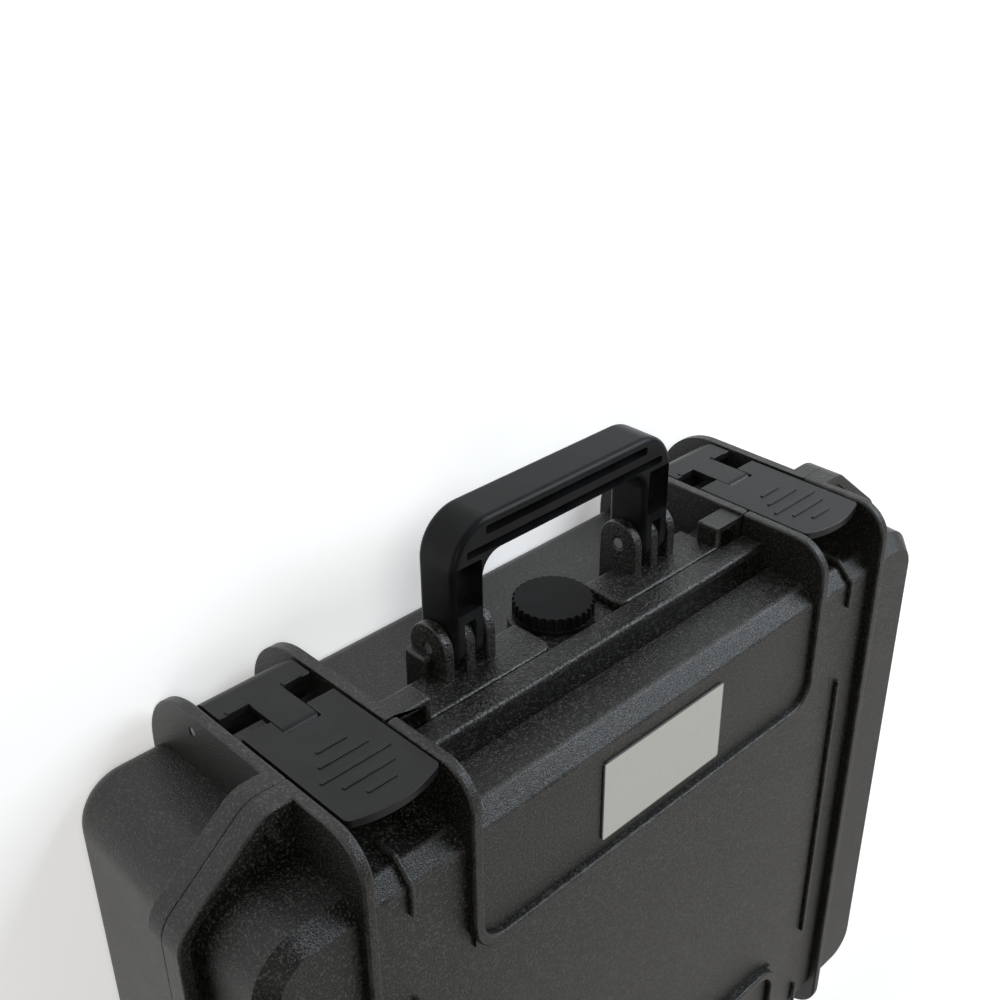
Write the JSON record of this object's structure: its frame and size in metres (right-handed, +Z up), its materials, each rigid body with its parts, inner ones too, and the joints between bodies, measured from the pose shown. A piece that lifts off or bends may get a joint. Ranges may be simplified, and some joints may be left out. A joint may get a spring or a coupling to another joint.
{
  "type": "waterproof hard case",
  "caption": "Black ribbed plastic carrying case with a hinged lid, pull latches, folding handle, pressure valve, padlock ears and a blank name plate.",
  "frame": {"origin": "middle of the base's footprint, on the surface that the base's rib feet rest on", "axes": "+Z up through the lid, -Y towards the front with the handle and latches, X along the front, left is -X"},
  "size_m": [0.411, 0.3992, 0.132],
  "materials": {
    "shell": "fine grain",
    "latch": "satin",
    "handle": "satin",
    "fitting": "satin",
    "seal": "matt",
    "pin": "ground",
    "label": "satin"
  },
  "bodies": {
    "base": {"base_shell": "shell", "valve_body": "fitting", "valve_seal": "seal", "valve_nut": "fitting", "base_ear_left": "shell", "hinge_pin_left": "pin", "latch_pin_left": "pin", "handle_pin_left": "pin", "base_ear_right": "shell", "hinge_pin_right": "pin", "latch_pin_right": "pin", "handle_pin_right": "pin"},
    "lid": {"lid_shell": "shell", "lid_seal": "seal", "name_plate": "label", "lid_ear_left": "shell", "lid_ear_right": "shell"},
    "handle": {"carry_handle": "handle"},
    "valve_knob": {"valve_cap": "fitting"},
    "plate_left": {"latch_plate_left": "latch", "lever_pin_left": "pin"},
    "lever_left": {"latch_lever_left": "latch"},
    "plate_right": {"latch_plate_right": "latch", "lever_pin_right": "pin"},
    "lever_right": {"latch_lever_right": "latch"}
  },
  "joints": [
    {"name": "lid_hinge", "type": "hinge", "parent": "base", "child": "lid", "pos_m": [0, 0.1655, 0.086], "axis": [-1, 0, 0], "range_deg": [0, 105]},
    {"name": "handle_fold", "type": "hinge", "parent": "base", "child": "handle", "pos_m": [0, -0.1733, 0.0645], "axis": [1, 0, 0], "range_deg": [-90, 90]},
    {"name": "valve_turn", "type": "hinge", "parent": "base", "child": "valve_knob", "pos_m": [0, -0.1655, 0.066], "axis": [0, -1, 0], "range_deg": [0, 180]},
    {"name": "latch_plate_left", "type": "hinge", "parent": "base", "child": "plate_left", "pos_m": [0, -0.1639, 0.033], "axis": [1, 0, 0], "range_deg": [0, 75]},
    {"name": "latch_lever_left", "type": "hinge", "parent": "plate_left", "child": "lever_left", "pos_m": [0, -0.1682, 0.0623], "axis": [1, 0, 0], "range_deg": [0, 35]},
    {"name": "latch_plate_right", "type": "hinge", "parent": "base", "child": "plate_right", "pos_m": [0, -0.1639, 0.033], "axis": [1, 0, 0], "range_deg": [0, 75]},
    {"name": "latch_lever_right", "type": "hinge", "parent": "plate_right", "child": "lever_right", "pos_m": [0, -0.1682, 0.0623], "axis": [1, 0, 0], "range_deg": [0, 35]}
  ]
}
